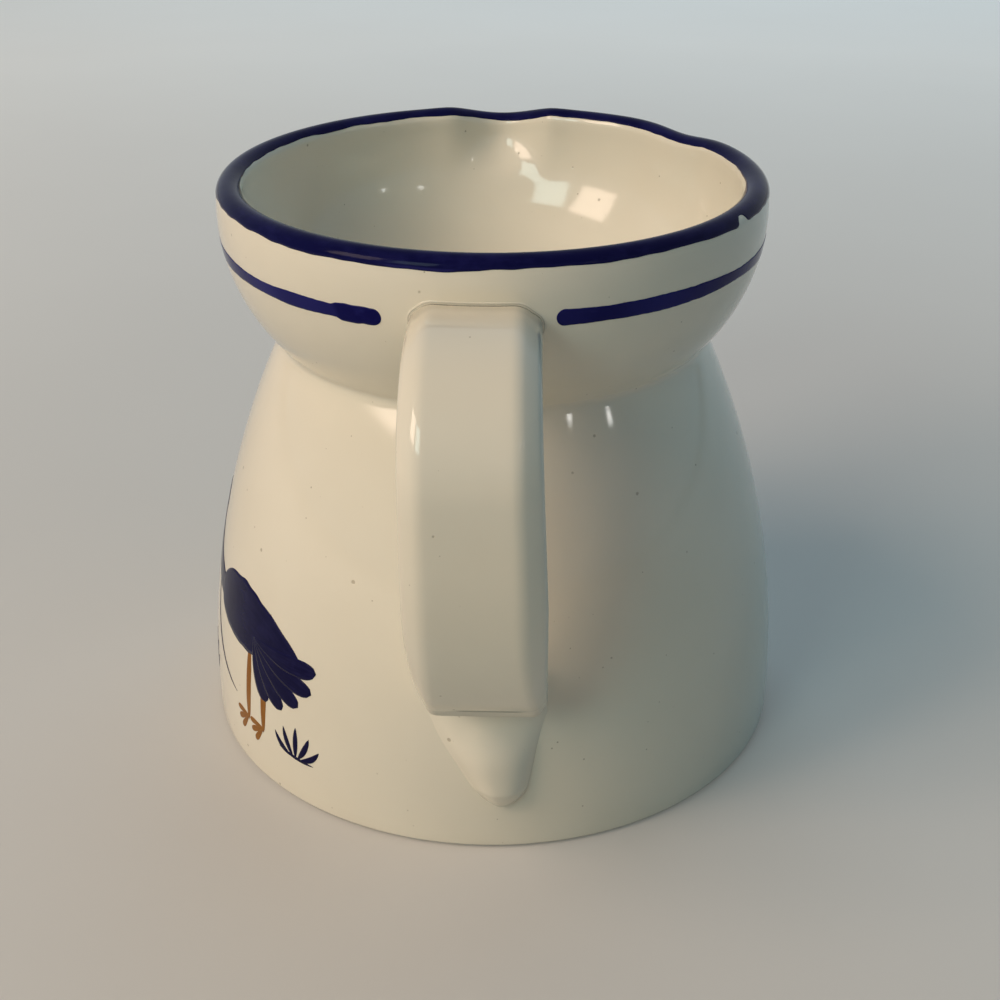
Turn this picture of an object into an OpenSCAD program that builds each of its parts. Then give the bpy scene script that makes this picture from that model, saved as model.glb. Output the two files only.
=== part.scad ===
// Cream jug of glazed clay: a bell-shaped body with a flared bowl on top.
// A broad strap handle stands at -Y, the pulled pouring lip at +Y, and a goose is painted at -X.
// The origin is the centre of the foot, on the surface that the jug stands on.

/* [Body] */
// Radius of the bell where it meets the foot
base_r = 54.9; // [50:0.1:60]
// Height of the waist crease above the table
waist_z = 75.5; // [68:0.5:84]
// Radius of the waist crease
waist_r = 38; // [34:0.1:42]
// How far the bell's side swells past a straight line
bell_swell = 4.6; // [3:0.1:7]
// Rounding of the bell's lower edge
edge_r = 0.6; // [0.4:0.1:3]
// Thickness of the clay wall
wall = 4.4; // [3.4:0.1:5.4]
// Thickness of the floor
floor_t = 5; // [3:0.1:8]

/* [Foot] */
// Height of the dry foot ring
foot_h = 0.4; // [0.3:0.1:2]
// Width of the foot ring's bearing face
foot_w = 5; // [3:0.1:10]
// How far the ring stands back from the rounding of the lower edge
foot_inset = 0.5; // [0:0.1:3]

/* [Bowl] */
// Outer radius of the lip
rim_r = 47.4; // [44:0.1:51]
// Height from the waist to the middle of the lip
bowl_h = 26; // [22:0.5:32]
// How far the bowl's side swells past a straight line
bowl_swell = 3.1; // [2:0.1:4.5]

/* [Spout] */
// Half of the angle that the pulled lip takes up
spout_half = 14; // [12:1:30]
// How far the lip is pulled out
spout_out = 3.5; // [1:0.1:6]
// How far the lip is pulled down
spout_drop = 2; // [0:0.1:3]
// Bare glaze between the collar stripe and the start of the pull
spout_clear = 0.4; // [0.2:0.1:2]

/* [Handle] */
// Width of the strap
strap_w = 20.8; // [16:0.1:25]
// Thickness of the strap
strap_t = 7.5; // [6:0.1:9]
// Rounding of the strap's long edges
strap_edge = 2.6; // [1:0.1:2.9]
// Distance of the strap's upper face below the middle of the lip
strap_drop = 4.9; // [4:0.1:10]
// Room for a finger between the body and the strap where the strap starts to fold
finger_gap = 25; // [20:0.1:30]
// Middle-line radius of the arch at the top of the strap
arch_r = 16.5; // [10:0.1:18]
// Length of the upright leg between the arch and the fold
leg_h = 9.4; // [4:0.1:14]
// How far the fold swings in from the leg on its way to level
fold_r = 16; // [12:0.1:18]
// How far the fold drops on its way to level
fold_h = 32; // [24:0.1:34]
// Slope of the lower arm below level
arm_slope = 25; // [10:1:35]
// Width of the strap at the fold
fold_w = 17.2; // [10:0.1:20]
// How far the fold's middle lies to the right of the handle's plane
fold_shift = 1.4; // [-3:0.1:3]
// How far above the lower end of the fold the strap starts to narrow
taper_h = 22.5; // [12:0.5:28]

/* [Handle tail] */
// Width of the tail where it leaves the arm
tail_w = 18.4; // [12:0.1:20]
// How far the clay of the tail stands off the body
tail_t = 3.2; // [2:0.1:5]
// Radius of the tail's round tip
tail_tip_r = 3.2; // [2.4:0.1:6]
// Height of the lowest point of the tip
tail_tip_z = 8.6; // [6:0.1:16]
// How far the tip leans to the right of the handle's plane
tail_lean = 3.5; // [-5:0.1:5]

/* [Fired-on colours] */
// Thickness of the fired-on colours
paint_t = 0.3; // [0.1:0.05:0.6]
// Where the lip's band starts outside, in degrees up from level
band_turn_out = 15; // [0:15:45]
// Where the lip's band ends inside, in degrees up from level outside
band_turn_in = 150; // [120:15:180]
// Width of the collar stripe
stripe_w = 2.2; // [1:0.1:3]
// Distance of the stripe's middle below the middle of the lip
stripe_drop = 7.8; // [6.5:0.1:10]
// Bare glaze between the strap's right edge and the stripe
stripe_stop_right = 1.3; // [0.5:0.1:8]
// Bare glaze between the strap's left edge and the stripe
stripe_stop_left = 4.4; // [0.5:0.1:8]

/* [Goose] */
// Turn from the handle round to the middle of the goose
goose_turn = 58; // [50:1:130]
// Height of the ground under the goose's feet
goose_z = 9.5; // [8:0.1:14]
// Length of the goose's back, from shoulder to tail
back_len = 31; // [26:0.1:34]
// Depth of the goose's folded wing
wing_w = 13; // [9:0.1:15]
// Height of the goose's shoulder above the ground
shoulder_h = 21; // [18:0.1:24]
// Height of the goose's head above the shoulder
neck_h = 12; // [9:0.1:15]
// How far the goose's head reaches ahead of the shoulder
neck_reach = 14; // [11:0.1:16]
// Angle from one tail feather to the next
feather_fan = 24; // [15:1:28]
// Radius of the goose's head
head_r = 3.1; // [2.5:0.1:4]
// Length of the goose's bill
bill_len = 4.6; // [3:0.1:6]
// Width of the thin line that draws the breast and belly
line_w = 0.8; // [0.5:0.1:1.2]
// Height of the belly line's end above the ground
belly_h = 4; // [2:0.1:6]
// Width of a leg's brush stroke
leg_w = 1.8; // [1.2:0.1:2.4]
// Length of a toe
toe_len = 4; // [3:0.1:5]
// Angle between the two toes of a foot
toe_fan = 34; // [20:1:50]

/* [Grass] */
// Length of a blade of grass
blade_len = 6.5; // [4:0.1:8]
// Width of a blade at its middle
blade_w = 1.3; // [0.8:0.1:2]
// Angle from one blade of a tuft to the next
blade_fan = 24; // [10:1:30]
// Distance of each tuft from the middle of the goose
tuft_reach = 19; // [17:0.1:22]

/* [Hidden] */
$fn = 240;
glaze = [0.93, 0.90, 0.82];
cobalt = [0.05, 0.05, 0.27];
navy = [0.10, 0.09, 0.24];
ochre = [0.66, 0.42, 0.17];
dry_clay = [0.78, 0.71, 0.60];

// Arc through points a and b that swells by s to the right of the way from a to b
function arc_rad(a, b, s) = (pow(norm(b - a), 2) / 4 + s * s) / (2 * s);
function arc_mid(a, b, s) = (a + b) / 2 + [b.y - a.y, a.x - b.x] / norm(b - a) * (s - arc_rad(a, b, s));
// Radius of an upright round wall at height z, from its arc's middle and radius
function wall_r(mid, rad, z) = mid.x + sqrt(rad * rad - pow(z - mid.y, 2));
function ease(t) = let (u = min(max(t, 0), 1)) u * u * (3 - 2 * u);

lip_z = waist_z + bowl_h;
lip_r = rim_r - wall / 2;
bell_foot = [base_r, foot_h];
waist = [waist_r, waist_z];
rim = [rim_r, lip_z];
bell_rad = arc_rad(bell_foot, waist, bell_swell);
bell_mid = arc_mid(bell_foot, waist, bell_swell);
bowl_rad = arc_rad(waist, rim, bowl_swell);
bowl_mid = arc_mid(waist, rim, bowl_swell);
bowl_in_rad = norm([rim_r - wall, lip_z] - bowl_mid);
neck_r = wall_r(bell_mid, bell_rad - wall, waist_z);
edge_z = foot_h + edge_r;
edge_c = wall_r(bell_mid, bell_rad, edge_z) - edge_r;
// Half widths and heights that reach past the whole jug, for cutting shapes
past_r = base_r + rim_r;
past_z = 2 * lip_z;

// Filled half section of the bell between two heights, with its side moved out by grow
module bell_section(z0, z1, grow = 0) {
    intersection() {
        translate(bell_mid) circle(r = bell_rad + grow);
        translate([0, z0]) square([past_r, z1 - z0]);
    }
}

module bell_outline() {
    bell_section(edge_z, waist_z);
    translate([0, foot_h]) square([edge_c, edge_r]);
    translate([edge_c, edge_z]) circle(r = edge_r);
}

// Filled half section of the bowl between two heights, out to an arc of radius rad
module bowl_section(z0, z1, rad) {
    intersection() {
        translate(bowl_mid) circle(r = rad);
        translate([0, z0]) square([past_r, z1 - z0]);
    }
}

// Skin of thickness t on the outside of the bell, from the spout past the goose and the handle
module bell_skin(t) {
    rotate([0, 0, 90]) rotate_extrude(angle = 270) difference() {
        bell_section(edge_z, waist_z, t);
        bell_section(edge_z, waist_z);
    }
}

module body() {
    color(glaze) rotate_extrude() difference() {
        bell_outline();
        bell_section(foot_h + floor_t, waist_z, -wall);
    }
}

module foot_ring() {
    color(dry_clay) rotate_extrude()
        translate([edge_c - foot_inset - foot_w, 0]) square([foot_w, foot_h]);
}

stripe_z = lip_z - stripe_drop;
spout_z = stripe_z + stripe_w / 2 + spout_clear;

module bowl() {
    color(glaze) rotate_extrude() difference() {
        bowl_section(waist_z, spout_z, bowl_rad);
        bowl_section(waist_z, spout_z, bowl_in_rad);
        translate([0, waist_z]) square([neck_r, bowl_h]);
    }
}

// Points of the lip's section, up the outside, over the top and down the inside
side_steps = 5;
lip_step = 15;
tip_step = 15;
spout_steps = 18;
function side_z(i) = spout_z + (lip_z - spout_z) * i / side_steps;
function lip_point(rad, t) = [lip_r + rad * cos(t), lip_z + rad * sin(t)];
lip_points = concat(
    [for (i = [0:side_steps - 1]) [wall_r(bowl_mid, bowl_rad, side_z(i)), side_z(i)]],
    [for (t = [0:lip_step:180]) lip_point(wall / 2, t)],
    [for (i = [side_steps - 1:-1:0]) [wall_r(bowl_mid, bowl_in_rad, side_z(i)), side_z(i)]]
);
band_points = concat(
    [for (t = [band_turn_out:lip_step:band_turn_in]) lip_point(wall / 2 + paint_t, t)],
    [for (t = [band_turn_in:-lip_step:band_turn_out]) lip_point(wall / 2, t)]
);

// Section point p carried round to angle a from the pouring line, then pulled out and down
function pulled(p, a) =
    let (
        k = pow(cos(90 * a / spout_half), 2) * ease((p.y - spout_z) / (lip_z - spout_z)),
        r = p.x + spout_out * k
    )
    [r * sin(a), r * cos(a), p.y - spout_drop * k];
function pulled_rows(points) = [
    for (i = [0:spout_steps])
        let (a = spout_half * (2 * i / spout_steps - 1)) [for (p = points) pulled(p, a)]
];

// Closed solid through a row of matching sections, each a loop that goes out and comes back
module loft(rows) {
    n = len(rows[0]);
    last = (len(rows) - 1) * n;
    sides = [
        for (j = [0:n:last - n], i = [0:n - 1])
            let (k = (i + 1) % n)
            each [[j + i, j + k, j + n + k], [j + i, j + n + k, j + n + i]]
    ];
    ends = [
        for (i = [0:ceil(n / 2) - 2])
            let (k = n - 1 - i)
            each concat(
                [[i + 1, i, k], [last + i, last + i + 1, last + k]],
                i + 2 < k ? [[k - 1, i + 1, k], [last + i + 1, last + k - 1, last + k]] : []
            )
    ];
    polyhedron(points = [for (row = rows) each row], faces = concat(sides, ends));
}

// Turns a section round from one side of the spout to the other
module round_to_spout(points) {
    rotate([0, 0, 90 + spout_half]) rotate_extrude(angle = 360 - 2 * spout_half) polygon(points);
}

module lip() {
    color(glaze) round_to_spout(lip_points);
}

module rim_band() {
    color(cobalt) round_to_spout(band_points);
}

module spout() {
    color(glaze) loft(pulled_rows(lip_points));
}

module spout_band() {
    color(cobalt) loft(pulled_rows(band_points));
}

module collar_stripe() {
    stripe_r = wall_r(bowl_mid, bowl_rad, stripe_z);
    right_end = asin((strap_w / 2 + stripe_stop_right) / stripe_r);
    left_end = asin((strap_w / 2 + stripe_stop_left) / stripe_r);
    low = stripe_z - stripe_w / 2;
    high = stripe_z + stripe_w / 2;
    color(cobalt) rotate([0, 0, right_end - 90]) rotate_extrude(angle = 360 - right_end - left_end)
        difference() {
            bowl_section(low, high, bowl_rad + paint_t);
            bowl_section(low, high, bowl_rad);
        }
}

// Middle line of the strap, as [distance from the axis, height]
arm_z = lip_z - strap_drop - strap_t / 2;
fold_z = arm_z - arch_r - leg_h;
leg_r = wall_r(bell_mid, bell_rad, fold_z) + finger_gap + strap_t / 2;
arch_c = [leg_r - arch_r, arm_z - arch_r];
fold_c = [leg_r - fold_r, fold_z];
fold_turn = atan2(fold_h * cos(arm_slope), fold_r * sin(arm_slope));
arm_way = [-cos(arm_slope), -sin(arm_slope)];
function around(c, rad, a) = c + rad * [cos(a), sin(a)];

// Point of the fold, an ellipse, at its angle a and the height h off the middle line
function fold_at(a, h = 0) =
    let (out = [fold_h * cos(a), -fold_r * sin(a)])
    fold_c + [fold_r * cos(a), -fold_h * sin(a)] + h * out / norm(out);
taper_z = fold_at(fold_turn).y + taper_h;

// Side distance x of the strap, moved to where it lies at height z of the leg and the fold
function strap_side(x, z) =
    let (k = pow(max(taper_z - z, 0) / taper_h, 2))
    x * (1 - k + k * fold_w / strap_w) + k * fold_shift;

// How far a line from p along the lower arm runs at the side distance x until it meets the bell
function arm_run(p, x, near = 0, far = leg_r, tries = 24) =
    tries == 0 ? near :
    let (
        half = (near + far) / 2,
        q = p + half * arm_way,
        clear = norm([x, q.x]) > wall_r(bell_mid, bell_rad, q.y)
    )
    arm_run(p, x, clear ? half : near, clear ? far : half, tries - 1);

// Steps round the arch and the fold, across each end and over a long edge
arch_steps = 10;
fold_steps = 16;
end_steps = 4;
edge_steps = 4;
flat_steps = 4;

// Face of the strap from the arch to the fold, at height h off its middle line and side distance x
function strap_face(h, x) = concat(
    [for (i = [0:arch_steps]) let (q = around(arch_c, arch_r + h, 90 - 90 * i / arch_steps)) [x, q.x, q.y]],
    [
        for (i = [0:fold_steps])
            let (a = fold_turn * i / fold_steps, q = fold_at(a, h))
            [strap_side(x, fold_at(a).y), q.x, q.y]
    ]
);

// The strap's end on the bowl and on the bell, between heights -h and h off its middle line
function bowl_end(h, x) = [
    for (i = [0:end_steps])
        let (z = arm_z + h * (2 * i / end_steps - 1), r = wall_r(bowl_mid, bowl_rad, z))
        [x, sqrt(r * r - x * x), z]
];
function bell_end(h, x) = [
    for (i = [0:end_steps])
        let (
            root_x = x * tail_w / strap_w,
            p = fold_at(fold_turn, h * (1 - 2 * i / end_steps)),
            q = p + arm_run(p, root_x) * arm_way
        )
        [root_x, q.x, q.y]
];

// Closed outline of one upright slice of the strap: over the outside, across the bell, back inside
function reversed(list) = [for (i = [len(list) - 1:-1:0]) list[i]];
function strap_slice(x, h) = [
    for (q = concat(bowl_end(h, x), strap_face(h, x), bell_end(h, x), reversed(strap_face(-h, x))))
        [q.x, -q.y, q.z]
];

// Slices [side distance, half thickness] from edge to edge of the strap
edge_slices = [
    for (i = [0:edge_steps - 1])
        let (a = 90 * i / edge_steps)
        [strap_w / 2 - strap_edge + strap_edge * cos(a), strap_t / 2 - strap_edge + strap_edge * sin(a)]
];
flat_half = strap_w / 2 - strap_edge;
slices = concat(
    [for (e = edge_slices) [-e[0], e[1]]],
    [for (i = [0:flat_steps]) [flat_half * (2 * i / flat_steps - 1), strap_t / 2]],
    reversed(edge_slices)
);

module handle() {
    color(glaze) loft([for (e = slices) strap_slice(e[0], e[1])]);
}

// Tongue that runs straight below the arm and then tapers to its round tip
module tail_outline(root_z) {
    tip = [tail_lean, tail_tip_z + tail_tip_r];
    top_z = root_z + strap_t;
    polygon(concat(
        [[-tail_w / 2, root_z], [-tail_w / 2, top_z], [tail_w / 2, top_z], [tail_w / 2, root_z]],
        [for (a = [0:-tip_step:-180]) around(tip, tail_tip_r, a)]
    ));
}

module handle_tail() {
    arm_low = fold_at(fold_turn, strap_t / 2);
    root = arm_low + arm_run(arm_low, 0) * arm_way;
    color(glaze) difference() {
        intersection() {
            bell_skin(tail_t);
            rotate([90, 0, 0]) linear_extrude(past_r) tail_outline(root.y);
        }
        translate([0, -root.x, root.y]) rotate([-arm_slope, 0, 0])
            translate([-past_r, -past_r, 0]) cube(2 * past_r);
    }
}

// Brush stroke from a to b, pointed at both ends and w wide at its middle
module stroke(a, b, w) {
    intersection() {
        translate(arc_mid(a, b, w / 2)) circle(r = arc_rad(a, b, w / 2));
        translate(arc_mid(b, a, w / 2)) circle(r = arc_rad(a, b, w / 2));
    }
}

// Curved brush stroke from a to b, between arcs that swell by s and by s - w
module curved_stroke(a, b, s, w) {
    difference() {
        translate(arc_mid(a, b, s)) circle(r = arc_rad(a, b, s));
        translate(arc_mid(a, b, s - w)) circle(r = arc_rad(a, b, s - w));
    }
}

// Places a drawing on the bell's side: its x runs back towards the handle and its y up
module on_bell() {
    intersection() {
        bell_skin(paint_t);
        rotate([0, 0, -goose_turn]) rotate([90, 0, 0]) linear_extrude(past_r)
            translate([0, goose_z]) children();
    }
}

// The goose in its own drawing: ground at y = 0, bill towards -x
shoulder = [-back_len / 4, shoulder_h];
tail_end = shoulder + [back_len, -wing_w / 4];
head = shoulder + [-neck_reach, neck_h];
throat = shoulder - [wing_w / 2, 0];
belly = [0, belly_h];
leg_top = shoulder_h - wing_w / 2;

module goose() {
    feather = tail_end - [wing_w, 0];
    color(navy) on_bell() {
        stroke(shoulder - [wing_w / 4, 0], tail_end, wing_w);
        for (i = [-2:1])
            let (a = feather_fan * i)
            stroke(feather, feather + wing_w * [cos(a), sin(a)], wing_w / 3);
        curved_stroke(head, shoulder + [wing_w / 2, 0], neck_h / 2, wing_w / 3);
        translate(head) circle(r = head_r);
        curved_stroke(throat, belly, wing_w / 3, line_w);
    }
}

module goose_trim() {
    bill = head - [head_r, 0];
    color(ochre) on_bell() {
        stroke(bill, bill - [bill_len, head_r / 3], head_r);
        for (x = [3 * leg_w, 6 * leg_w]) {
            stroke([x, leg_top - wing_w / 4], [x, 0], leg_w);
            for (i = [-1, 1])
                let (a = 180 + i * toe_fan / 2, heel = [x, leg_w])
                stroke(heel, heel + toe_len * [cos(a), sin(a)], leg_w * 3 / 4);
        }
    }
}

module grass_tufts() {
    color(navy) on_bell()
        for (x = [-tuft_reach, tuft_reach], i = [-2:2])
            let (root = [x + i * blade_w, 0], a = 90 - blade_fan * i)
            stroke(root, root + blade_len * [cos(a), sin(a)], blade_w);
}

body();
foot_ring();
bowl();
lip();
spout();
handle();
handle_tail();
rim_band();
spout_band();
collar_stripe();
goose();
goose_trim();
grass_tufts();
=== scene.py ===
import math

import bmesh
import bpy
from mathutils import Matrix, Vector, noise


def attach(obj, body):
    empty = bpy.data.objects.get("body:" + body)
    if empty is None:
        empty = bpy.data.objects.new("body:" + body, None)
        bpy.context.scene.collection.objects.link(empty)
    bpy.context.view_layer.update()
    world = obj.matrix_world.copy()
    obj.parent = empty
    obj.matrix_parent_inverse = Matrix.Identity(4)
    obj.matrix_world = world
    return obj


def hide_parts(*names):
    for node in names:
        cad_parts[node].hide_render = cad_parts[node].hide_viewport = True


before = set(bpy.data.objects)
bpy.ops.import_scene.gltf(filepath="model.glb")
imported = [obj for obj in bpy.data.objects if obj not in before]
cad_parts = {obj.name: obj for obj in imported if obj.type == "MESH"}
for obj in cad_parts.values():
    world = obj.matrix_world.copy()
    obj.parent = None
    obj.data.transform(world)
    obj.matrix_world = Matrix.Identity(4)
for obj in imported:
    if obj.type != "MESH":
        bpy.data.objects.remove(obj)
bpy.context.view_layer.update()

mm = 0.001  # pieces are shaped in millimetres and scaled once, when they are finished
weld = 0.001  # points closer than this many millimetres are one
nearRing = 0.01  # and this close to a ring's radius and height, they lie on it
noiseSpan = (0.3, 0.7)  # where most of a noise texture's values lie
print("frame loaded:", ", ".join(sorted(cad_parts)))


def addObject(name, data):
    thing = bpy.data.objects.new(name, data)
    bpy.context.scene.collection.objects.link(thing)
    return thing


def toMesh(name, bm, material):
    mesh = bpy.data.meshes.new(name)
    bm.to_mesh(mesh)
    bm.free()
    mesh.materials.append(material)
    return mesh


def newPiece(name, bm, material, slot, *nodes):
    bmesh.ops.scale(bm, vec=(mm, mm, mm), verts=bm.verts)
    mesh = toMesh(name, bm, material)
    mesh.shade_smooth()
    piece = addObject(name, mesh)
    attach(piece, "root")
    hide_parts(*nodes)
    print("piece", name, len(mesh.polygons), "faces")


def addNode(tree, kind, values=None, **settings):
    node = tree.nodes.new("ShaderNode" + kind)
    for name, value in settings.items():
        setattr(node, name, value)
    for name, value in (values or {}).items():
        node.inputs[name].default_value = value
    return node


def newMaterial(name, values):
    material = bpy.data.materials.new(name)
    material.use_nodes = True
    shader = material.node_tree.nodes["Principled BSDF"]
    for socket, value in values.items():
        shader.inputs[socket].default_value = value
    return material, material.node_tree, shader


def mathNode(tree, operation, first, second):
    node = addNode(tree, "Math", operation=operation)
    for socket, value in zip(node.inputs, (first, second)):
        if isinstance(value, (int, float)):
            socket.default_value = value
        else:
            tree.links.new(value, socket)
    return node.outputs[0]


def noiseNode(tree, coords, scale, detail, rough=0.5):
    node = addNode(tree, "TexNoise", {"Scale": scale, "Detail": detail, "Roughness": rough})
    tree.links.new(coords, node.inputs["Vector"])
    return node.outputs["Fac"]


def rangeNode(tree, value, low, high, toLow, toHigh):
    limits = {"From Min": low, "From Max": high, "To Min": toLow, "To Max": toHigh}
    node = addNode(tree, "MapRange", limits)
    tree.links.new(value, node.inputs["Value"])
    return node.outputs["Result"]


def mixColour(tree, factor, first, second):
    node = addNode(tree, "Mix", data_type="RGBA")
    tree.links.new(factor, node.inputs[0])
    for socket, value in ((node.inputs[6], first), (node.inputs[7], second)):
        if isinstance(value, tuple):
            socket.default_value = (*value, 1.0)
        else:
            tree.links.new(value, socket)
    return node.outputs[2]


def bumpNode(tree, height, strength, distance, **settings):
    node = addNode(tree, "Bump", {"Strength": strength, "Distance": distance}, **settings)
    tree.links.new(height, node.inputs["Height"])
    return node


glaze = {
    "shader": {"Roughness": 0.1, "IOR": 1.52},
    "cream": (0.87, 0.81, 0.675), "thin": (0.83, 0.765, 0.625),  # the two shades that drift over the pot
    "drift": 26.0, "driftSpan": (0.35, 0.65), "detail": 3.0,
    "speck": (0.30, 0.235, 0.15), "paintedShade": (0.06, 0.05, 0.038),  # iron specks, and the dark colour of painted shade in the handle's root crease and crack
    "coarse": {"scale": 560.0, "share": 0.055, "size": 0.24, "strength": 0.55},
    "fine": {"scale": 1100.0, "share": 0.040, "size": 0.22, "strength": 0.60}, "speckEdge": 0.08,
    "gloss": 70.0, "glossSpan": (0.06, 0.13), "paintedShadeRough": 0.4,
    "wave": 38.0, "waveDetail": 1.5, "waveBump": (0.35, 0.00025),  # slow unevenness that bends reflections
    "dimpleBump": (0.5, 0.0002),
}


def speckMask(tree, coords, kind):  # small round spots in a share of the cells
    cells = addNode(tree, "TexVoronoi", {"Scale": kind["scale"]})
    tree.links.new(coords, cells.inputs["Vector"])
    pick = addNode(tree, "SeparateColor")
    tree.links.new(cells.outputs["Color"], pick.inputs[0])
    chosen = rangeNode(tree, pick.outputs[0], 1 - kind["share"], 1.0, 0.0, kind["size"])
    inside = mathNode(tree, "SUBTRACT", chosen, cells.outputs["Distance"])
    return rangeNode(tree, inside, 0.0, glaze["speckEdge"], 0.0, kind["strength"])


def makeGlaze():
    g = glaze
    material, tree, shader = newMaterial("creamGlaze", g["shader"])
    coords = addNode(tree, "TexCoord").outputs["Object"]
    drift = rangeNode(tree, noiseNode(tree, coords, g["drift"], g["detail"]), *g["driftSpan"], 0.0, 1.0)
    shade = mixColour(tree, drift, g["cream"], g["thin"])
    coarse, fine = (speckMask(tree, coords, g[kind]) for kind in ("coarse", "fine"))
    specks = mathNode(tree, "MAXIMUM", coarse, fine)
    colour = mixColour(tree, specks, shade, g["speck"])
    # painted shade: the glaze is darkened, and made rougher, where the handle marks its root crease and crack
    paintedShadeMask = addNode(tree, "Attribute", attribute_name="paintedShade").outputs["Fac"]
    tree.links.new(mixColour(tree, paintedShadeMask, colour, g["paintedShade"]), shader.inputs["Base Color"])
    gloss = rangeNode(tree, noiseNode(tree, coords, g["gloss"], g["detail"]), *noiseSpan, *g["glossSpan"])
    rough = mathNode(tree, "ADD", gloss, mathNode(tree, "MULTIPLY", paintedShadeMask, g["paintedShadeRough"]))
    tree.links.new(rough, shader.inputs["Roughness"])
    wave = bumpNode(tree, noiseNode(tree, coords, g["wave"], g["waveDetail"]), *g["waveBump"])
    dimple = bumpNode(tree, coarse, *g["dimpleBump"], invert=True)
    tree.links.new(wave.outputs[0], dimple.inputs["Normal"])
    tree.links.new(dimple.outputs[0], shader.inputs["Normal"])
    return material


paint = {
    "shader": {"Roughness": 0.12, "IOR": 1.52, "Specular IOR Level": 0.06},
    "detail": 4.0, "hairRough": 0.6, "clouds": 160.0, "cloudRough": 0.65,
    "brushedSpan": (0.95, 1.35), "brushedThin": 0.6, "edgeThin": 0.45,
    "lumps": 300.0, "lumpDetail": 2.0, "lumpBump": (0.3, 0.0001),
}
colours = {  # where thick, where thin, streaks along and across a stroke, share of its edge that thins out
    "cobaltPaint": ((0.0022, 0.0020, 0.046), (0.016, 0.016, 0.110), (24.0, 2.0), 0.10),
    "stripePaint": ((0.0030, 0.0028, 0.075), (0.020, 0.021, 0.16), (24.0, 2.0), 0.10),  # brushed thinner
    "navyPaint": ((0.0046, 0.0042, 0.040), (0.018, 0.017, 0.088), (3.0, 7.0), 0.12),
    "ochrePaint": ((0.28, 0.110, 0.019), (0.40, 0.19, 0.050), (2.0, 5.0), 0.25),
}


def makePaint(name, deep, thin, streaks, edge):
    p = paint
    material, tree, shader = newMaterial(name, p["shader"])
    texture = addNode(tree, "TexCoord")
    along = addNode(tree, "Mapping", {"Scale": (*streaks, 1.0)})  # stretched along the stroke
    tree.links.new(texture.outputs["UV"], along.inputs["Vector"])
    hairs = noiseNode(tree, along.outputs[0], 1.0, p["detail"], p["hairRough"])
    clouds = noiseNode(tree, texture.outputs["Object"], p["clouds"], p["detail"], p["cloudRough"])
    brushed = rangeNode(tree, mathNode(tree, "ADD", hairs, clouds), *p["brushedSpan"], 0.0, p["brushedThin"])
    split = addNode(tree, "SeparateXYZ")
    tree.links.new(texture.outputs["UV"], split.inputs[0])
    across = mathNode(tree, "ABSOLUTE", mathNode(tree, "SUBTRACT", split.outputs[1], 0.5), 0.0)
    rim = rangeNode(tree, across, 0.5 - edge, 0.5, 0.0, p["edgeThin"])  # colour thins out at the edge
    wash = addNode(tree, "Attribute", attribute_name="wash").outputs["Fac"]  # where the brush ran dry
    thinned = mathNode(tree, "MAXIMUM", mathNode(tree, "MAXIMUM", brushed, rim), wash)
    tree.links.new(mixColour(tree, thinned, deep, thin), shader.inputs["Base Color"])
    lumps = noiseNode(tree, texture.outputs["Object"], p["lumps"], p["lumpDetail"])
    tree.links.new(bumpNode(tree, lumps, *p["lumpBump"]).outputs[0], shader.inputs["Normal"])
    return material


clay = {
    "shader": {"Roughness": 0.85}, "pale": (0.60, 0.50, 0.36), "dark": (0.42, 0.34, 0.24),
    "grain": 900.0, "grainDetail": 4.0, "grainRough": 0.7, "grainBump": (0.6, 0.0003),
    "stain": 60.0, "stainDetail": 3.0,
}


def makeDryClay():
    c = clay
    material, tree, shader = newMaterial("dryClay", c["shader"])
    coords = addNode(tree, "TexCoord").outputs["Object"]
    grain = noiseNode(tree, coords, c["grain"], c["grainDetail"], c["grainRough"])
    stain = rangeNode(tree, noiseNode(tree, coords, c["stain"], c["stainDetail"]), *noiseSpan, 0.0, 1.0)
    tree.links.new(mixColour(tree, stain, c["pale"], c["dark"]), shader.inputs["Base Color"])
    tree.links.new(bumpNode(tree, grain, *c["grainBump"]).outputs[0], shader.inputs["Normal"])
    return material


creamGlaze = makeGlaze()
cobaltPaint, stripePaint, navyPaint, ochrePaint = (makePaint(name, *row) for name, row in colours.items())
dryClay = makeDryClay()
print("materials made")


jug = {
    "baseR": 54.9, "footH": 0.4, "edgeR": 0.6, "bellSwell": 4.6,  # bell
    "waistR": 38.0, "waistZ": 75.5, "neckIn": 1.6,
    "rimR": 47.4, "bowlH": 26.0, "bowlSwell": 3.1,  # bowl
    "wall": 4.4, "floorZ": 5.4, "floorRings": (18.0, 36.0),
    "crease": (0.9, 4), "ridge": (2.2, 5), "floorEdge": (5.0, 6),  # rounding of edges, and its steps
    "steps": {"edge": 8, "bell": 44, "bowl": 26, "lip": 8, "bowlInside": 22, "bellInside": 34},
    "around": 320,  # faces round the pot
}
spout = {
    "half": 14.0, "out": 3.5, "drop": 2.0, "fromZ": 95.2, "channelZ": 89.0,  # half its width, in degrees
    "pinch": 0.35, "pinchWide": 0.28, "pinchRise": 0.5, "reach": 1.6,  # nipped at both sides
}
dent = {  # the lip isn't quite round
    "turn": 129.0, "wide": 9.0, "inward": 0.7, "drop": 0.7, "fromZ": 86.0, "least": 0.001,
}


def arcThrough(start, end, swell):  # circle that bulges by swell to the right of the way from start to end
    start, end = Vector(start), Vector(end)
    chord = end - start
    radius = (chord.length_squared / 4 + swell * swell) / (2 * swell)
    side = Vector((chord.y, -chord.x)).normalized()
    return (start + end) / 2 + side * (swell - radius), radius


lipZ = jug["waistZ"] + jug["bowlH"]
lipR = jug["rimR"] - jug["wall"] / 2
waist = (jug["waistR"], jug["waistZ"])
bellMid, bellRad = arcThrough((jug["baseR"], jug["footH"]), waist, jug["bellSwell"])
bowlMid, bowlRad = arcThrough(waist, (jug["rimR"], lipZ), jug["bowlSwell"])
bowlInRad = (Vector((jug["rimR"] - jug["wall"], lipZ)) - bowlMid).length


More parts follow.
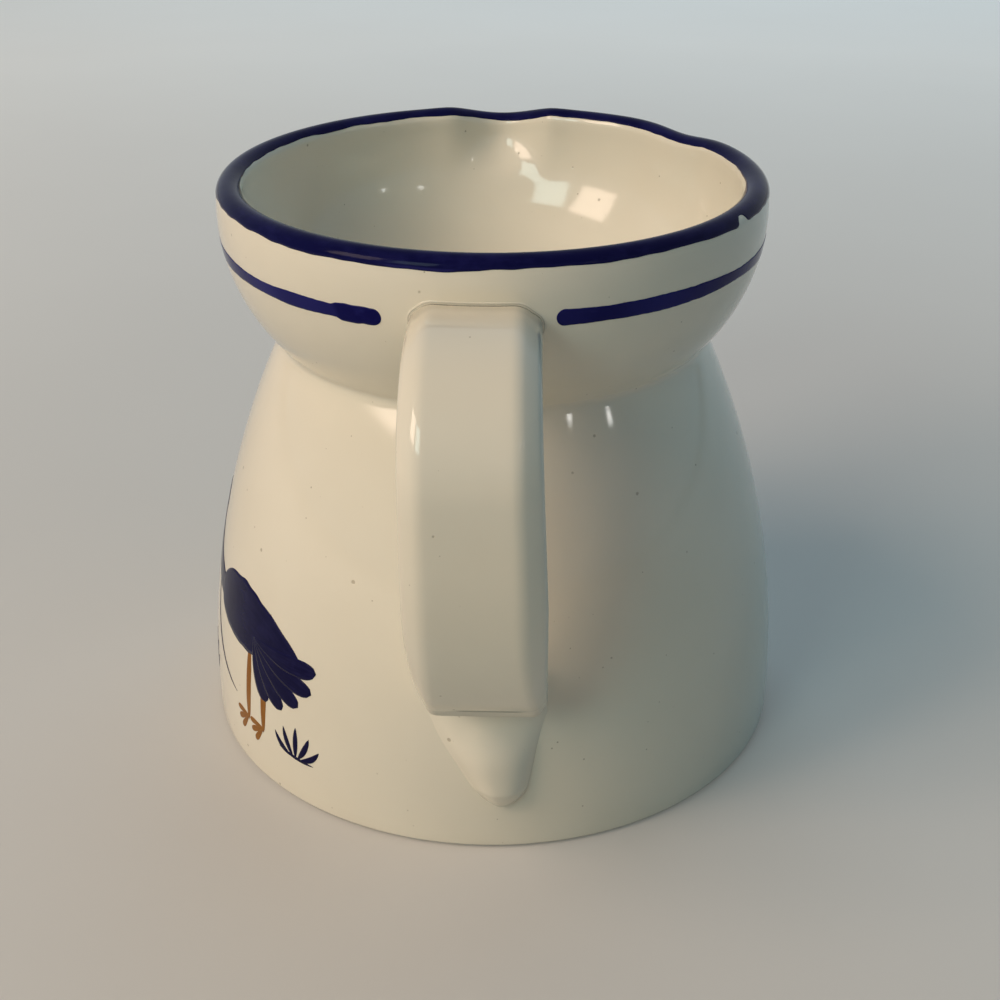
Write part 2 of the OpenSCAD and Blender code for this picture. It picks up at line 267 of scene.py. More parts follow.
def sideR(mid, radius, z):
    return mid.x + math.sqrt(radius * radius - (z - mid.y) ** 2)


def ease(t):
    t = min(max(t, 0.0), 1.0)
    return t * t * (3 - 2 * t)


def pullSpout(bm):  # draws the lip out and down at +Y, and pinches it a little at both sides
    for v in bm.verts:
        share = abs(math.degrees(math.atan2(v.co.x, v.co.y))) / spout["half"]
        if share > spout["reach"] or v.co.z < spout["channelZ"]:
            continue
        r = math.hypot(v.co.x, v.co.y)
        inside = r < sideR(bowlMid, (bowlRad + bowlInRad) / 2, min(v.co.z, lipZ))
        low = spout["channelZ"] if inside else spout["fromZ"]
        up = ease((v.co.z - low) / (lipZ - low))
        pull = up * math.cos(math.pi / 2 * min(share, 1.0)) ** 2
        nip = up * spout["pinch"] * math.exp(-((share - 1.0) / spout["pinchWide"]) ** 2)
        grow = (r + spout["out"] * pull - nip) / r
        v.co.x *= grow
        v.co.y *= grow
        v.co.z += nip * spout["pinchRise"] - spout["drop"] * pull


def dentLip(bm):
    for v in bm.verts:
        turn = math.degrees(math.atan2(v.co.x, -v.co.y))  # from the handle towards +X
        up = ease((v.co.z - dent["fromZ"]) / (lipZ - dent["fromZ"]))
        push = up * math.exp(-((turn - dent["turn"]) / dent["wide"]) ** 2)
        if push > dent["least"]:
            shrink = 1 - dent["inward"] * push / math.hypot(v.co.x, v.co.y)
            v.co.x *= shrink
            v.co.y *= shrink
            v.co.z -= dent["drop"] * push


def lineTo(bm, vert, r, z):
    vert = bmesh.ops.extrude_vert_indiv(bm, verts=[vert])["verts"][0]
    vert.co = (r, 0, z)
    return vert


def arcTo(bm, vert, mid, r, z, steps):  # draws on along the arc round mid, the short way
    here = math.atan2(vert.co.z - mid[1], vert.co.x - mid[0])
    there = math.atan2(z - mid[1], r - mid[0])
    turn = math.remainder(there - here, 2 * math.pi)
    cent = (mid[0], 0, mid[1])
    made = bmesh.ops.spin(bm, geom=[vert], cent=cent, axis=(0, -1, 0), angle=turn, steps=steps)
    vert = [item for item in made["geom_last"] if isinstance(item, bmesh.types.BMVert)][0]
    vert.co = (r, 0, z)
    return vert


def spinRound(bm, steps):  # turns the profile that was drawn into a closed shape
    profile = bm.verts[:] + bm.edges[:]
    bmesh.ops.spin(bm, geom=profile, axis=(0, 0, 1), angle=2 * math.pi, steps=steps, use_merge=True)
    bmesh.ops.remove_doubles(bm, verts=bm.verts, dist=weld)
    bmesh.ops.recalc_face_normals(bm, faces=bm.faces)


def bevel(bm, geom, width, segments, affect):
    return bmesh.ops.bevel(
        bm, geom=geom, offset=width, offset_type="OFFSET", affect=affect, segments=segments,
        profile=0.5, material=-1,
    )


def bevelLoop(bm, r, z, width, segments):  # rounds the ring edge at this radius and height
    def onRing(v):
        return max(abs(v.co.z - z), abs(math.hypot(v.co.x, v.co.y) - r)) < nearRing

    ring = [e for e in bm.edges if all(onRing(v) for v in e.verts)]
    bevel(bm, ring, width, segments, "EDGES")


def makePot():
    steps = jug["steps"]
    edgeZ = jug["footH"] + jug["edgeR"]
    edgeR = sideR(bellMid, bellRad, edgeZ) - jug["edgeR"]
    bellIn = bellRad - jug["wall"]
    neckR = sideR(bellMid, bellIn, jug["waistZ"]) - jug["neckIn"]
    neckZ = bowlMid.y - math.sqrt(bowlInRad ** 2 - (neckR - bowlMid.x) ** 2)
    floorR = sideR(bellMid, bellIn, jug["floorZ"])
    bm = bmesh.new()
    pen = bm.verts.new((0, 0, jug["footH"]))
    for r in (*jug["floorRings"], edgeR):
        pen = lineTo(bm, pen, r, jug["footH"])
    pen = arcTo(bm, pen, (edgeR, edgeZ), edgeR + jug["edgeR"], edgeZ, steps["edge"])
    pen = arcTo(bm, pen, bellMid, *waist, steps["bell"])
    pen = arcTo(bm, pen, bowlMid, jug["rimR"], lipZ, steps["bowl"])
    pen = arcTo(bm, pen, (lipR, lipZ), lipR, lipZ + jug["wall"] / 2, steps["lip"])
    pen = arcTo(bm, pen, (lipR, lipZ), lipR - jug["wall"] / 2, lipZ, steps["lip"])
    pen = arcTo(bm, pen, bowlMid, neckR, neckZ, steps["bowlInside"])
    pen = arcTo(bm, pen, bellMid, floorR, jug["floorZ"], steps["bellInside"])
    for r in (*reversed(jug["floorRings"]), 0):
        pen = lineTo(bm, pen, r, jug["floorZ"])
    spinRound(bm, jug["around"])
    bevelLoop(bm, *waist, *jug["crease"])
    bevelLoop(bm, neckR, neckZ, *jug["ridge"])
    bevelLoop(bm, floorR, jug["floorZ"], *jug["floorEdge"])
    pullSpout(bm)
    dentLip(bm)
    newPiece("pot", bm, creamGlaze, "glaze", "body", "bowl", "lip", "spout")


makePot()


footRing = {"outR": 53.8, "width": 5.0, "edge": (0.1, 3), "sink": 0.1, "around": 200}


def makeFootRing():
    inR, outR = footRing["outR"] - footRing["width"], footRing["outR"]
    topZ = jug["footH"] + footRing["sink"]
    bm = bmesh.new()
    pen = bm.verts.new((inR, 0, topZ))
    for r, z in ((inR, 0), (outR, 0), (outR, topZ), (inR, topZ)):
        pen = lineTo(bm, pen, r, z)
    spinRound(bm, footRing["around"])
    for r in (inR, outR):
        bevelLoop(bm, r, 0, *footRing["edge"])
    newPiece("footRing", bm, dryClay, "dry_clay", "foot_ring")


makeFootRing()


handle = {
    "rootWidth": 20.0, "width": 21.6, "thick": 7.5, "rootLean": -0.7,
    "edgeLeft": 2.9, "edgeRight": 3.4, "edgeDepth": 0.72,  # flattened edges, shallower than wide
    "edgeRound": 1.2, "roundSteps": 4, "cuts": 19,  # softened corners, and cuts across the faces
    "armZ": 92.85, "archR": 16.5, "gap": 25.0, "legH": 9.4,
    "foldR": 16.0, "foldH": 32.0, "slope": 25.0, "footR": 49.0,  # the fold is part of an ellipse
    "foldWidth": 19.4, "taperH": 22.5, "footWidth": 18.4, "foldShift": 1.3,
    "squared": 0.45,  # how far its flattened edges square up in the fold
    "steps": {"arch": 20, "leg": 4, "fold": 24, "foot": 6},
    "root": (  # bead and crease where it meets the bowl: (off the bowl, growth)
        (-3.0, 0.0), (-0.2, 0.6), (0.15, 0.32), (-0.12, -0.06), (0.14, -0.22), (0.6, 0.0),
    ),
    # how dark the crease at the root is painted: painted shade
    "creaseShade": 0.85,
    "crack": {  # crack and swelling across the fold, as relief by how far the strap leans in
        41.7: 0.0, 42.3: -0.35, 43.8: -0.4, 44.5: 0.1, 47.0: 0.35, 51.0: 0.45, 56.0: 0.3, 61.0: 0.0,
    },
    "crackSpan": (-0.17, 0.26), "crackFade": 0.08, "crackShade": 1.0,  # span and fade as shares of the width, and how dark the crack is painted: painted shade
}

foldZ = handle["armZ"] - handle["archR"] - handle["legH"]
legR = sideR(bellMid, bellRad, foldZ) + handle["gap"] + handle["thick"] / 2


def foldAngle(lean):  # angle of the ellipse at which the strap leans in this far
    lean = math.radians(lean)
    return math.atan2(handle["foldH"] * math.sin(lean), handle["foldR"] * math.cos(lean))


def strapAt(z):  # width, side shift and squareness of the strap at this height
    h = handle
    taperZ = foldZ - h["foldH"] * math.sin(foldAngle(90 - h["slope"])) + h["taperH"]
    down = min(max((h["armZ"] - z) / (h["armZ"] - taperZ), 0), 1)  # it widens downwards
    width = h["rootWidth"] + (h["width"] - h["rootWidth"]) * down
    k = min(max((taperZ - z) / h["taperH"], 0), 1) ** 2  # and rounds off into the fold
    shift = h["rootLean"] * (1 - down) + h["foldShift"] * k
    return width + (h["foldWidth"] - width) * k, shift, h["squared"] * k


def handleStations():  # middle line: way from the axis, height, tilt, width, shift, squareness, relief
    h, steps = handle, handle["steps"]
    stations = []
    archD, archZ = legR - h["archR"], h["armZ"] - h["archR"]
    for i in range(steps["arch"] + 1):
        tilt = 90 * i / steps["arch"]
        a = math.radians(90 - tilt)
        z = archZ + h["archR"] * math.sin(a)
        stations.append((archD + h["archR"] * math.cos(a), z, tilt, *strapAt(z), 0.0))
    for i in range(1, steps["leg"]):
        z = archZ - h["legH"] * i / steps["leg"]
        stations.append((legR, z, 90.0, *strapAt(z), 0.0))
    relief = {foldAngle(lean): depth for lean, depth in h["crack"].items()}
    end = foldAngle(90 - h["slope"])
    for a in sorted([end * i / steps["fold"] for i in range(steps["fold"] + 1)] + list(relief)):
        d, z = legR - h["foldR"] * (1 - math.cos(a)), foldZ - h["foldH"] * math.sin(a)
        lean = math.degrees(math.atan2(h["foldR"] * math.sin(a), h["foldH"] * math.cos(a)))
        stations.append((d, z, 90 + lean, *strapAt(z), relief.get(a, 0.0)))
    d, z, tilt, width, shift, squared, _ = stations[-1]
    way = math.radians(h["slope"])
    for i in range(1, steps["foot"] + 1):
        k = i / steps["foot"]
        go = k * (d - h["footR"]) / math.cos(way)
        place = (d - go * math.cos(way), z - go * math.sin(way), tilt)
        widened = width + (h["footWidth"] - width) * ease(k)
        stations.append((*place, widened, shift * (1 - k), squared * (1 - k), 0.0))
    return stations


def strapSection(bm):  # flat section with flattened edges, and points across its long sides
    h = handle
    bmesh.ops.create_grid(bm, x_segments=1, y_segments=1, size=0.5)
    bmesh.ops.scale(bm, vec=(h["width"], h["thick"] / h["edgeDepth"], 1), verts=bm.verts)
    sides = {
        "edgeLeft": [v for v in bm.verts if v.co.x < 0],
        "edgeRight": [v for v in bm.verts if v.co.x > 0],
    }
    for side, corners in sides.items():
        cut = bevel(bm, corners, h[side], 1, "VERTICES")
        bevel(bm, cut["verts"], h["edgeRound"], h["roundSteps"], "VERTICES")
    bmesh.ops.scale(bm, vec=(1, h["edgeDepth"], 1), verts=bm.verts)
    long = [e for e in bm.edges if e.calc_length() > h["width"] / 2]
    bmesh.ops.subdivide_edges(bm, edges=long, cuts=h["cuts"])


def rootPoint(x, up, off, grow):  # on a ring that follows the bowl's side
    h = handle
    x = x * (h["rootWidth"] + 2 * grow) / h["width"] + h["rootLean"]
    z = h["armZ"] + up * (1 + 2 * grow / h["thick"])
    r = sideR(bowlMid, bowlRad, z)
    return Vector((x, -math.sqrt(r * r - x * x) - off, z))


def crackPart(share, up):  # the crack runs only part of the way across the outer face
    low, high = handle["crackSpan"]
    fade = handle["crackFade"]
    return ease((share - low) / fade) * ease((high - share) / fade) * (up > 0)


def makeHandle():
    h = handle
    bm = bmesh.new()
    strapSection(bm)
    flat = bm.verts.layers.float_vector.new("flat")  # each point's place in the section
    # painted shade on the glaze, marked at the root's crease and along the crack
    paintedShade = bm.verts.layers.float.new("paintedShade")
    for v in bm.verts:
        v[flat] = v.co
    ring, ends = bm.verts[:], bm.faces[:]
    rootRings, stations = len(h["root"]), handleStations()
    for i in range(rootRings + len(stations)):
        if i:
            made = bmesh.ops.extrude_face_region(bm, geom=ends)["geom"]
            bmesh.ops.delete(bm, geom=ends, context="FACES_ONLY")  # no walls inside the strap
            ring = [item for item in made if isinstance(item, bmesh.types.BMVert)]
            ends = [item for item in made if isinstance(item, bmesh.types.BMFace)]
        for v in ring:
            x, up = v[flat].x, v[flat].y
            v[paintedShade] = 0.0
            if i < rootRings:
                off, grow = h["root"][i]
                v.co = rootPoint(x, up, off, grow)
                # painted shade in the crease where the strap meets the bowl
                v[paintedShade] = h["creaseShade"] * (grow < 0)
                continue
            d, z, tilt, width, shift, squared, relief = stations[i - rootRings]
            share = x / h["width"]
            if relief < 0:
                part = crackPart(share, up)
                # painted shade along the crack
                v[paintedShade] = h["crackShade"] * part
                relief *= part
            a = math.radians(tilt)
            out = Vector((0, -math.sin(a), math.cos(a)))  # from the middle line to the outer face
            share *= 1 + squared * (1 - 4 * share * share)
            rise = up + relief * max(up, 0) / (h["thick"] / 2)
            v.co = Vector((share * width + shift, -d, z)) + out * rise
    bm.verts.layers.float_vector.remove(flat)
    bmesh.ops.recalc_face_normals(bm, faces=bm.faces)
    newPiece("handle", bm, creamGlaze, "glaze", "handle")


makeHandle()


tail = {
    "topZ": 36.0, "wideZ": 27.0, "tipZ": 9.2, "topWidth": 19.0, "width": 21.0, "tipWidth": 6.8, "tipR": 4.2,
    "shift": 0.6, "lean": 3.3, "bulge": 4.0, "tipBulge": 3.0, "sink": 0.15, "under": 1.5,
    "right": (2.6, 0.8), "left": (2.2, 1.5),  # powers of its section, which is softer at the left
    "hollowAt": (-0.4, 26.0), "hollow": (0.35, 5.0, 0.35),  # a thumb's mark: place, width, height, depth
    "recess": 0.55, "recessZ": (18.0, 28.0),  # drawn in under the fold
    "long": 64, "wide": 40,
}


def tailBulge(u, k, z, rounded):  # how far the tongue stands out at share u across and share k down
    t = tail
    inner, outer = t["right"] if u > 0 else t["left"]
    section = (1 - abs(u) ** inner) ** outer
    high = (t["bulge"] + (t["tipBulge"] - t["bulge"]) * k) * math.sqrt(rounded) * section
    recessLow, recessTop = t["recessZ"]
    high *= 1 - t["recess"] * ease((z - recessLow) / (recessTop - recessLow))
    hollowU, hollowZ = t["hollowAt"]
    hollowWide, hollowHigh, hollowDeep = t["hollow"]
    press = math.exp(-((u - hollowU) / hollowWide) ** 2 - ((z - hollowZ) / hollowHigh) ** 2)
    return high * (1 - hollowDeep * press)


def makeTail():
    t = tail
    bm = bmesh.new()
    grid = bmesh.ops.create_grid(bm, x_segments=t["wide"], y_segments=t["long"], size=0.5)
    for v in grid["verts"]:
        u = math.sin(math.pi * v.co.x)  # finer towards the sides
        k = math.sin(math.pi / 2 * (0.5 - v.co.y))  # and towards the tip
        z = t["topZ"] + (t["tipZ"] - t["topZ"]) * k
        down = max(t["wideZ"] - z, 0) / (t["wideZ"] - t["tipZ"])
        up = ease((z - t["wideZ"]) / (t["topZ"] - t["wideZ"]))  # narrower again under the strap
        width = t["width"] + (t["tipWidth"] - t["width"]) * down + (t["topWidth"] - t["width"]) * up
        rounded = min((z - t["tipZ"]) / t["tipR"], 1.0)
        half = width / 2 * math.sqrt(1 - (1 - rounded) ** 2)
        x = t["shift"] * (1 - up) + (t["lean"] - t["shift"]) * ease(down) + u * half
        r = sideR(bellMid, bellRad, z) + tailBulge(u, k, z, rounded) - t["sink"]
        v.co = (x, -math.sqrt(r * r - x * x), z)
    bmesh.ops.remove_doubles(bm, verts=bm.verts, dist=weld)
    border = [e for e in bm.edges if e.is_boundary]
    under = bmesh.ops.extrude_edge_only(bm, edges=border)["geom"]  # closes the tongue inside the wall
    for v in under:
        if isinstance(v, bmesh.types.BMVert):
            v.co.y += t["under"]
    bmesh.ops.holes_fill(bm, edges=[e for e in bm.edges if e.is_boundary], sides=0)
    bmesh.ops.recalc_face_normals(bm, faces=bm.faces)
    newPiece("handleTail", bm, creamGlaze, "glaze", "handle_tail")


makeTail()


def apart(turn, other):  # degrees between two turns, the short way
    return abs(math.remainder(turn - other, 360))


def waver(turn, *rows):  # hand wobble that closes after a full turn, from rows of share, step and seed
    a = math.radians(turn)
    x, y = math.cos(a), math.sin(a)
    return sum(share * noise.noise(Vector((x * step, y * step, seed))) for share, step, seed in rows)


def ringPoint(r, z, turn):  # turn in degrees from the handle towards +X
    a = math.radians(turn - 90)
    return Vector((r * math.cos(a), r * math.sin(a), z))


skin = {"lift": 0.05, "depth": 0.15}  # how far painted skins stand off the glaze, and how thick they are


def newSkin():
    bm = bmesh.new()
    bm.loops.layers.uv.new("brush")
    return bm


def closeSkin(bm):  # welds a painted skin and closes it, inwards
    bmesh.ops.remove_doubles(bm, verts=bm.verts, dist=weld)
    bm.normal_update()
    bmesh.ops.solidify(bm, geom=bm.faces[:], thickness=skin["depth"])


band = {
    "from": 16.0, "to": 150.0, "wobble": 9.0,  # section of the band, in degrees round the lip
    "lowWaver": ((1.0, 4.0, 3.0), (0.5, 14.0, 9.0)), "highWaver": ((1.0, 5.0, 21.0), (0.4, 16.0, 33.0)),
    "chipTurn": 59.2, "chipWide": 1.7, "chipHigh": 40.0,  # a bare chip at the right
    "sagTurn": 336.0, "sagWide": 26.0, "sag": 17.0,  # lower edge at the left
    "fringe": (341.0, 357.0), "fringeFade": 3.0, "fringeHigh": 0.08, "fringeWash": 0.9,  # its washed stretch
    "wash": (0.25, 2.0, 40.0), "around": 640, "across": 18,
}


def lipPoint(t, lift):  # place on the lip's section at t degrees up from level outside
    half = jug["wall"] / 2
    if t < 0:
        z = lipZ + half * math.radians(t)
        return sideR(bowlMid, bowlRad, z) + lift, z
    if t > 180:
        z = lipZ - half * math.radians(t - 180)
        return sideR(bowlMid, bowlInRad, z) - lift, z
    a = math.radians(t)
    return lipR + (half + lift) * math.cos(a), lipZ + (half + lift) * math.sin(a)


def makeRimBand():
    b = band
    bm = newSkin()
    wash = bm.verts.layers.float.new("wash")
    start, end = b["fringe"]
    grid = bmesh.ops.create_grid(bm, x_segments=b["around"], y_segments=b["across"], size=0.5, calc_uvs=True)
    for v in grid["verts"]:
        turn, across = (v.co.x + 0.5) * 360, v.co.y + 0.5
        low = b["from"] + b["wobble"] * waver(turn, *b["lowWaver"])
        low += b["chipHigh"] * math.exp(-(apart(turn, b["chipTurn"]) / b["chipWide"]) ** 4)
        low -= b["sag"] * math.exp(-(apart(turn, b["sagTurn"]) / b["sagWide"]) ** 4)
        high = b["to"] + b["wobble"] * waver(turn, *b["highWaver"])
        inFringe = ease((turn - start) / b["fringeFade"]) * ease((end - turn) / b["fringeFade"])
        v[wash] = b["fringeWash"] * inFringe * (across < b["fringeHigh"]) + max(waver(turn, b["wash"]), 0)
        v.co = ringPoint(*lipPoint(low + (high - low) * across, skin["lift"]), turn)
    closeSkin(bm)
    pullSpout(bm)
    dentLip(bm)
    newPiece("rimBand", bm, cobaltPaint, "cobalt", "rim_band", "spout_band")


makeRimBand()


stripe = {
    "z": 93.7, "width": 2.2, "from": 13.8, "to": 341.4, "round": 1.5,
    "widthWaver": ((0.24, 3.0, 5.0), (0.12, 11.0, 8.0), (0.06, 40.0, 4.0)), "zWaver": (0.3, 2.0, 13.0),
    "blob": 0.7, "blobLong": 8.5, "blobFade": 1.2, "blobSlant": 0.3,  # the brush was pressed down at the end
    "blobWaver": (0.3, 30.0, 2.0),
    "sagTurn": 318.0, "sagWide": 30.0, "sag": 0.7,
    "start": 0.5, "startLong": 22.0,  # wider and higher where the brush set out
    "wash": 0.55, "washWaver": (0.45, 6.0, 17.0), "around": 700, "across": 10,
}


def makeCollarStripe():
    t = stripe
    bm = newSkin()
    wash = bm.verts.layers.float.new("wash")
    grid = bmesh.ops.create_grid(bm, x_segments=t["around"], y_segments=t["across"], size=0.5, calc_uvs=True)
    length = math.radians(t["to"] - t["from"]) * sideR(bowlMid, bowlRad, t["z"])
    share, step, seed = t["blobWaver"]
    for v in grid["verts"]:
        along, across = (1 + math.sin(math.pi * v.co.x)) / 2, v.co.y * 2  # columns crowd towards both ends
        turn = t["from"] + (t["to"] - t["from"]) * along
        ends = min(along, 1 - along) * length / t["round"]
        loaded = ease((t["blobLong"] - (1 - along) * length) / t["blobFade"] + t["blobSlant"] * across)
        half = t["width"] / 2 * (1 + waver(turn, *t["widthWaver"]))
        half += t["blob"] / 2 * loaded * (1 + waver(turn, (share, step, seed + across)))
        fresh = t["start"] * math.exp(-along * length / t["startLong"])
        half = (half + fresh / 2) * math.sqrt(1 - (1 - min(ends, 1)) ** 2)
        z = t["z"] + waver(turn, t["zWaver"]) + fresh + across * half
        z -= t["sag"] * math.exp(-(apart(turn, t["sagTurn"]) / t["sagWide"]) ** 2)
        v[wash] = (t["wash"] + waver(turn, t["washWaver"])) * (1 - loaded)
        v.co = ringPoint(sideR(bowlMid, bowlRad, z) + skin["lift"], z, turn)
    closeSkin(bm)
    newPiece("collarStripe", bm, stripePaint, "cobalt", "collar_stripe")


makeCollarStripe()


goose = {
    "turn": 58.0, "ground": 9.5, "stack": 0.006,  # strokes lie over one another
    "shoulder": (-7.75, 21.0), "back": (31.0, -3.25), "bodyWidth": 15.6, "bodyBow": -1.5, "overlap": 3.25,
    "head": (-21.75, 33.0), "headR": 3.1, "neckWidth": 5.46, "neckBow": 4.6154,
    "belly": (0.0, 4.0), "bellyFrom": 6.5, "bellyBow": 4.3333, "line": 0.8,
    "fan": (6.2, 18.8333), "quill": 5.0, "quillBow": 0.6,
    "feathers": ((-66.0, 12.0), (-48.0, 14.0), (-31.0, 15.5), (-15.0, 16.5), (0.0, 16.5)),  # (turn, length)
}
ragged = {"share": 0.08, "step": 0.3}  # unevenness of a stroke's edges


def arch(s):  # from 0 up to 1 at the middle of a stroke, and down again
    return 4 * s * (1 - s)


tips = {  # how wide a stroke is at share s of its length, by what its ends look like
    "leaf": lambda s: arch(s) ** 0.8,
    "round": lambda s: math.sqrt(arch(s)),
    "drop": lambda s: math.sqrt(arch(s)) * (1 - 0.45 * s),
    "quill": lambda s: s ** 0.7 * math.sqrt(max(1 - s ** 5, 0)),
    "stem": lambda s: min(1.0, 3 * arch(s)) ** 0.5 * (0.6 + 0.4 * s),
}


def onBell(x, y, lift):  # the drawing's x runs towards the handle and its y up
    z = goose["ground"] + y
    r = sideR(bellMid, bellRad, z) + lift
    flat = Vector((x, -math.sqrt(r * r - x * x), z))
    return Matrix.Rotation(math.radians(-goose["turn"]), 3, "Z") @ flat


def brush(bm, start, end, width, tip, bow=0.0, seed=0.0, layer=0.0, long=20, wide=8):
    start, end = Vector(start), Vector(end)
    way = end - start
    side = Vector((-way.y, way.x)).normalized()  # to the left of the stroke
    grid = bmesh.ops.create_grid(bm, x_segments=long, y_segments=wide, size=0.5, calc_uvs=True)
    for v in grid["verts"]:
        s, across = v.co.x + 0.5, v.co.y * 2
        rough = noise.noise(Vector((s * way.length * ragged["step"], seed, across)))
        half = width / 2 * tips[tip](s) * (1 + ragged["share"] * rough)
        p = start + way * s + side * (across * half - bow * arch(s))
        v.co = onBell(p.x, p.y, skin["lift"] + layer * goose["stack"])


def inDirection(turn, long):
    a = math.radians(turn)
    return long * Vector((math.cos(a), math.sin(a)))


def makeGoose():
    g = goose
    shoulder, head, fan = Vector(g["shoulder"]), Vector(g["head"]), Vector(g["fan"])
    overlap, face = Vector((g["overlap"], 0)), Vector((g["headR"], 0))
    bm = newSkin()
    brush(bm, head, shoulder + overlap, g["neckWidth"], "stem", g["neckBow"], seed=7, long=40, wide=10)
    brush(bm, head - face, head + face, 2 * g["headR"], "round", seed=8, layer=1)
    breast = shoulder - Vector((g["bellyFrom"], 0))
    brush(bm, breast, g["belly"], g["line"], "leaf", g["bellyBow"], seed=9, long=30, wide=4)
    rump = shoulder + Vector(g["back"]) - overlap
    nape = shoulder - overlap
    brush(bm, nape, rump, g["bodyWidth"], "drop", g["bodyBow"], seed=1, layer=2, long=48, wide=16)
    for layer, (turn, long) in enumerate(g["feathers"], 3):
        end = fan + inDirection(turn, long)
        brush(bm, fan, end, g["quill"], "quill", g["quillBow"], seed=turn, layer=layer, long=28)
    closeSkin(bm)
    newPiece("goose", bm, navyPaint, "navy", "goose")


makeGoose()


trim = {  # its bill, eye, legs and feet
    "bill": (4.6, 1.0333), "eye": 0.9,
    "legs": (5.1, 10.2), "legTop": 17.1, "heel": 1.7, "legWidth": 1.7,
    "toe": 4.6, "toeWidth": 1.7, "toeTurns": (182.0, 208.0, 234.0),
}


def makeGooseTrim():
    t = trim
    head, headR, eye = Vector(goose["head"]), goose["headR"], t["eye"]
    bm = newSkin()
    bill = head - Vector((headR, 0))
    brush(bm, bill, bill - Vector(t["bill"]), headR, "drop", seed=4)
    brush(bm, head + Vector((-eye, eye)), head + Vector((0, eye)), eye, "round", seed=5, layer=3)
    for x in t["legs"]:
        heel = Vector((x, t["heel"]))
        ankle = heel - Vector((0, t["legWidth"] / 2))
        brush(bm, (x, t["legTop"]), ankle, t["legWidth"], "round", seed=x, layer=-1)
        for i, turn in enumerate(t["toeTurns"], -1):
            toe = heel + inDirection(turn, t["toe"])
            brush(bm, heel, toe, t["toeWidth"], "quill", seed=x + i, layer=i / 2)
    closeSkin(bm)
    newPiece("gooseTrim", bm, ochrePaint, "ochre", "goose_trim")


makeGooseTrim()


grass = {
    "at": (-19.0, 19.0), "blade": 6.5, "width": 1.1, "blades": (-2, -1, 0, 1, 2), "fan": 25.0, "root": 0.5,
    "shorter": 0.08, "bow": 0.3, "ground": (4.0, -0.4), "groundZ": 0.4, "groundWidth": 0.66,
}


def makeGrass():
    g = grass
    bm = newSkin()
    for x in g["at"]:
        for i in g["blades"]:
            root = Vector((x + i * g["root"], 0))
            blade = inDirection(90 - g["fan"] * i, g["blade"] * (1 - g["shorter"] * abs(i)))
            brush(bm, root, root + blade, g["width"], "leaf", g["bow"] * i, seed=x + i, long=14, wide=4)
        middle, ground = Vector((x, g["groundZ"])), Vector(g["ground"])
        left, right = middle - ground, middle + ground
        brush(bm, left, right, g["groundWidth"], "leaf", g["bow"], seed=x, layer=-1, wide=4)
    closeSkin(bm)
    newPiece("grassTufts", bm, navyPaint, "navy", "grass_tufts")


makeGrass()


stage = {
    "floor": (0.58, 0.565, 0.54), "size": 3.0, "rough": 0.8,
    "dapple": 6.0, "dappleDetail": 3.0, "dappleShade": 0.95,
    "glowColour": (0.62, 0.55, 0.47), "glowSpan": (0.05, 0.65), "glow": (0.12, 0.46),  # painted light: the floor glows more far off, so it shows paler there
    "room": (0.49, 0.53, 0.54), "seen": 1.0,  # what the camera and the glaze see of the room
    "shade": (0.45, 0.80, 1.0), "fill": 0.06,  # light from all round
    "aim": (0.0, 0.0, 0.05),
}
warm, cool, bulb = (1.0, 0.78, 0.62), (0.76, 1.0, 0.95), (1.0, 0.97, 0.92)
lamps = {  # place, size, power, colour, and whether the glaze shows it, which it doesn't with the wide fills
    "windowLeft": ((-0.91, -0.61, 0.67), (0.42, 0.45), 4.5, warm, True),
    "highLeft": ((-0.75, -0.35, 1.05), (0.7, 0.7), 6.5, warm, False),
    "paneLeft": ((-0.55, -0.95, 0.64), (0.34, 0.42), 2.15, cool, True),
    "wallBack": ((0.2, 1.0, 0.6), (1.4, 0.8), 5.2, (0.42, 0.75, 1.0), False),
    "wallRight": ((1.0, 0.1, 0.6), (0.9, 0.8), 1.1, (0.30, 0.70, 1.0), False),
    "deskLamp": ((0.0, -1.14, 0.35), (0.012, 0.012), 0.02, (1.0, 0.95, 0.88), True),
    "shelfLamp": ((0.72, -0.83, 0.53), (0.04, 0.04), 0.08, bulb, True),
    "sideLamp": ((1.02, -0.55, 0.45), (0.04, 0.04), 0.08, bulb, True),
}
view = {
    "at": (0.01018, -0.2555, 0.1746), "turn": (62.06, 0.0, 2.0), "lens": 54.0, "sensor": 36.0, "clip": 0.01,
}


def seenRays(tree):  # 1 on rays that show the room: to the camera, in gloss and through glass
    path = addNode(tree, "LightPath").outputs
    shown = mathNode(tree, "MAXIMUM", path["Is Camera Ray"], path["Is Glossy Ray"])
    return mathNode(tree, "MAXIMUM", shown, path["Is Transmission Ray"])


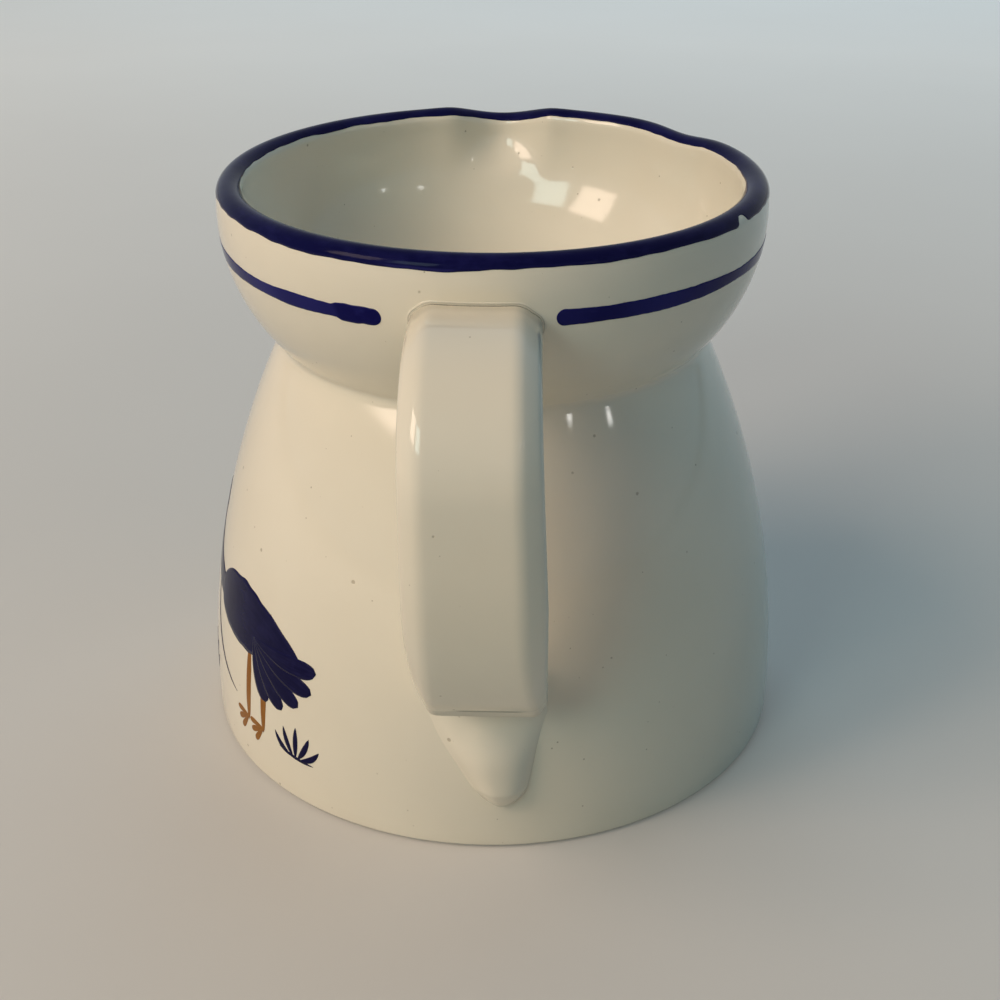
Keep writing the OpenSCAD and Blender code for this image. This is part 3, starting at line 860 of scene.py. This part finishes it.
def makeFloor():
    bm = bmesh.new()
    bmesh.ops.create_grid(bm, x_segments=1, y_segments=1, size=stage["size"])
    material, tree, shader = newMaterial("paleFloor", {"Roughness": stage["rough"]})
    coords = addNode(tree, "TexCoord").outputs["Object"]
    spots = noiseNode(tree, coords, stage["dapple"], stage["dappleDetail"])
    darker = tuple(c * stage["dappleShade"] for c in stage["floor"])
    colour = mixColour(tree, rangeNode(tree, spots, *noiseSpan, 0.0, 1.0), stage["floor"], darker)
    tree.links.new(colour, shader.inputs["Base Color"])
    away = addNode(tree, "VectorMath", operation="LENGTH")
    tree.links.new(coords, away.inputs[0])
    # painted light: a glow seen by the camera and in gloss, faint near the jug, where it lifts the shadow, and
    # stronger far off
    glow = rangeNode(tree, away.outputs["Value"], *stage["glowSpan"], *stage["glow"])
    tree.links.new(mathNode(tree, "MULTIPLY", glow, seenRays(tree)), shader.inputs["Emission Strength"])
    shader.inputs["Emission Color"].default_value = (*stage["glowColour"], 1.0)
    floor = addObject("floor", toMesh("floor", bm, material))


def makeRoom():
    world = bpy.data.worlds.new("room")
    world.use_nodes = True
    tree = world.node_tree
    air = tree.nodes["Background"]
    seen = seenRays(tree)
    tree.links.new(mixColour(tree, seen, stage["shade"], stage["room"]), air.inputs["Color"])
    tree.links.new(rangeNode(tree, seen, 0.0, 1.0, stage["fill"], stage["seen"]), air.inputs["Strength"])
    bpy.context.scene.world = world


def makeLamps():
    for name, (place, size, power, colour, seen) in lamps.items():
        light = bpy.data.lights.new(name, "AREA")
        light.shape = "RECTANGLE"
        light.size, light.size_y = size
        light.energy = power
        light.color = colour
        holder = addObject(name, light)
        holder.location = place
        aim = Vector(stage["aim"]) - Vector(place)
        holder.rotation_euler = aim.to_track_quat("-Z", "Y").to_euler()
        holder.visible_glossy = seen


def makeCamera():
    camera = bpy.data.cameras.new("photoView")
    camera.lens, camera.sensor_width = view["lens"], view["sensor"]
    camera.clip_start = view["clip"]
    holder = addObject("photoView", camera)
    holder.location = view["at"]
    holder.rotation_euler = [math.radians(a) for a in view["turn"]]
    bpy.context.scene.camera = holder


makeFloor()
makeRoom()
makeLamps()
makeCamera()
bpy.context.scene.view_settings.view_transform = "Standard"
print("stage set")
